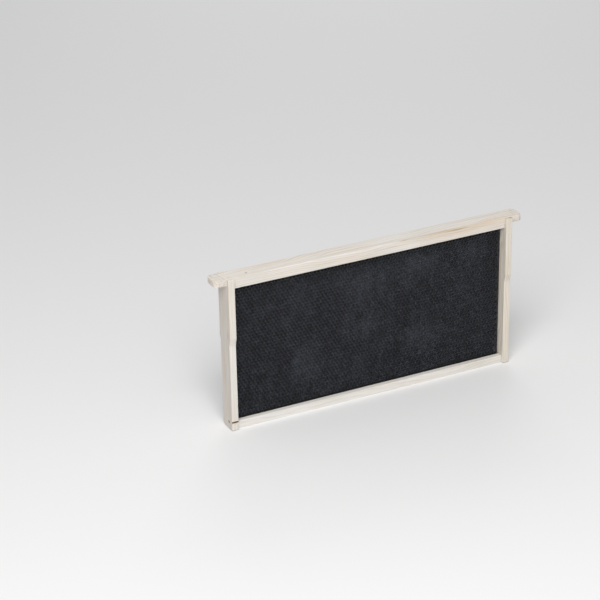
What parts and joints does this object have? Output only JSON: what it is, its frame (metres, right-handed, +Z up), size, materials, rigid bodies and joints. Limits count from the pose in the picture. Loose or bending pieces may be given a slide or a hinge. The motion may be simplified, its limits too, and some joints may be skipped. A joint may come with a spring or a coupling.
{
  "type": "wooden hive frame",
  "caption": "Deep self-spacing wooden beehive frame with lugs at both ends, a black embossed comb foundation sheet held in grooves, and small steel brads.",
  "frame": {"origin": "on the bench plane under the middle of the bottom bar, midway between the end bars and between the front and back spacing faces", "axes": "+X along the top bar to the right seen from the front, -Y towards the front, +Z up"},
  "size_m": [0.484, 0.0348, 0.232],
  "materials": {
    "top_bar_pine": "bare planed pine, pale cream, fine straight grain",
    "left_end_bar_pine": "bare planed pine, pale cream with a grey cast",
    "right_end_bar_pine": "bare planed pine, pale cream, a little warmer",
    "bottom_bar_pine": "bare planed pine, pale cream",
    "foundation_plastic": "black moulded plastic, satin, embossed with hexagonal cells, faint dust and wax film",
    "brad_steel": "plain wire, slightly dulled"
  },
  "bodies": {
    "root": {"top_bar": "top_bar_pine", "left_end_bar": "left_end_bar_pine", "right_end_bar": "right_end_bar_pine", "bottom_bar": "bottom_bar_pine", "foundation": "foundation_plastic", "brad_top_left_front": "brad_steel", "brad_top_left_back": "brad_steel", "brad_top_right_front": "brad_steel", "brad_top_right_back": "brad_steel", "brad_bottom_left": "brad_steel", "brad_bottom_right": "brad_steel"}
  },
  "joints": []
}
